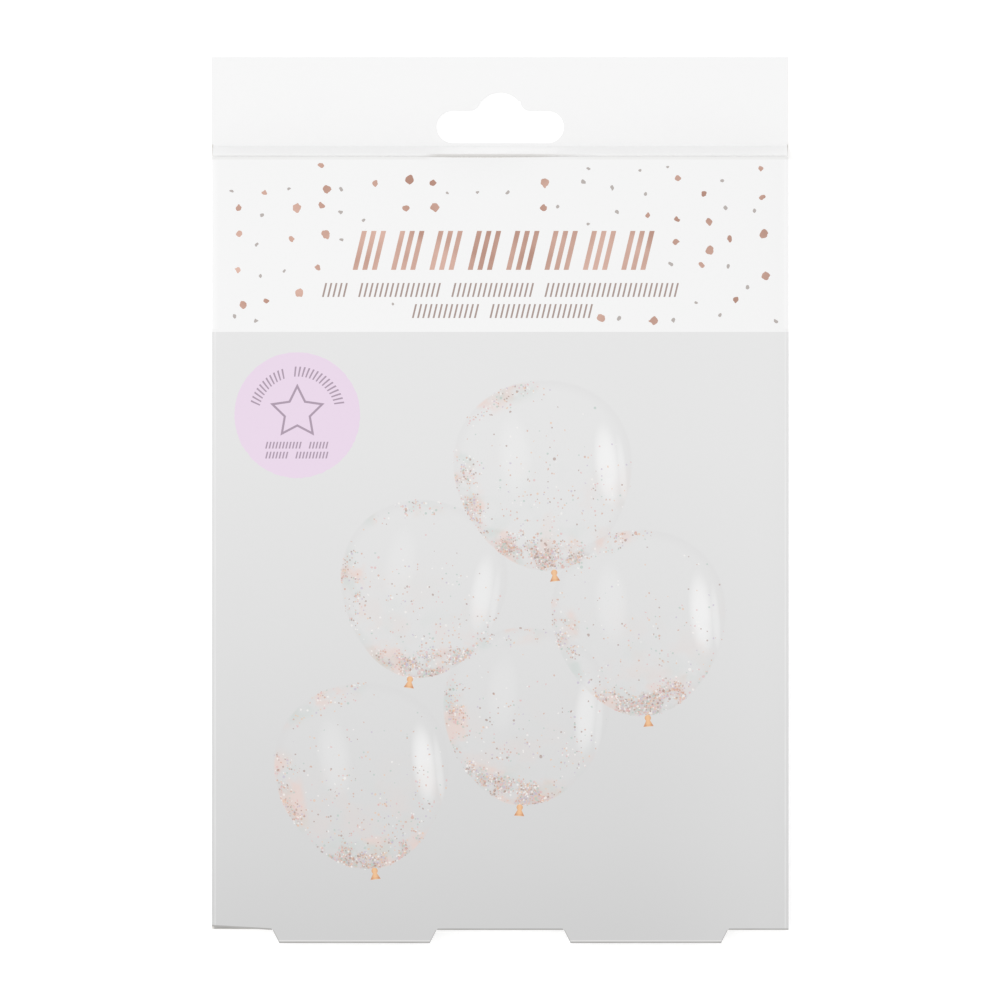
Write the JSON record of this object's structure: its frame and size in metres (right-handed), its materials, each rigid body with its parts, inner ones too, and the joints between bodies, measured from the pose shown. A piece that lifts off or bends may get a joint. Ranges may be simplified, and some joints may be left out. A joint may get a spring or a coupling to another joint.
{
  "type": "hanging card carton",
  "caption": "Flat folded-card carton for party balloons, with a doubled header and hang slot, a hinged tuck lid and small feet at the lower edge.",
  "frame": {"origin": "on the floor under the middle of the whole outline, with the carton lying on its back", "axes": "+X across the carton, +Y up the carton towards the header, +Z out of the printed front"},
  "size_m": [0.145, 0.223, 0.01],
  "materials": {
    "card": "satin"
  },
  "bodies": {
    "carton": {"carton": "card", "bottom": "card", "left_dust_flap": "card", "right_dust_flap": "card"},
    "lid": {"lid": "card"},
    "tuck_flap": {"tuck_flap": "card"}
  },
  "joints": [
    {"name": "lid_crease", "type": "hinge", "parent": "carton", "child": "lid", "pos_m": [0, 0.0886, 0.0016], "axis": [-1, 0, 0], "range_deg": [0, 100]},
    {"name": "tuck_crease", "type": "hinge", "parent": "lid", "child": "tuck_flap", "pos_m": [0, 0.0858, 0.00736], "axis": [1, 0, 0], "range_deg": [0, 100]}
  ],
  "couplings": [
    {"joint": "tuck_crease", "follows": "lid_crease", "ratio": 1}
  ]
}
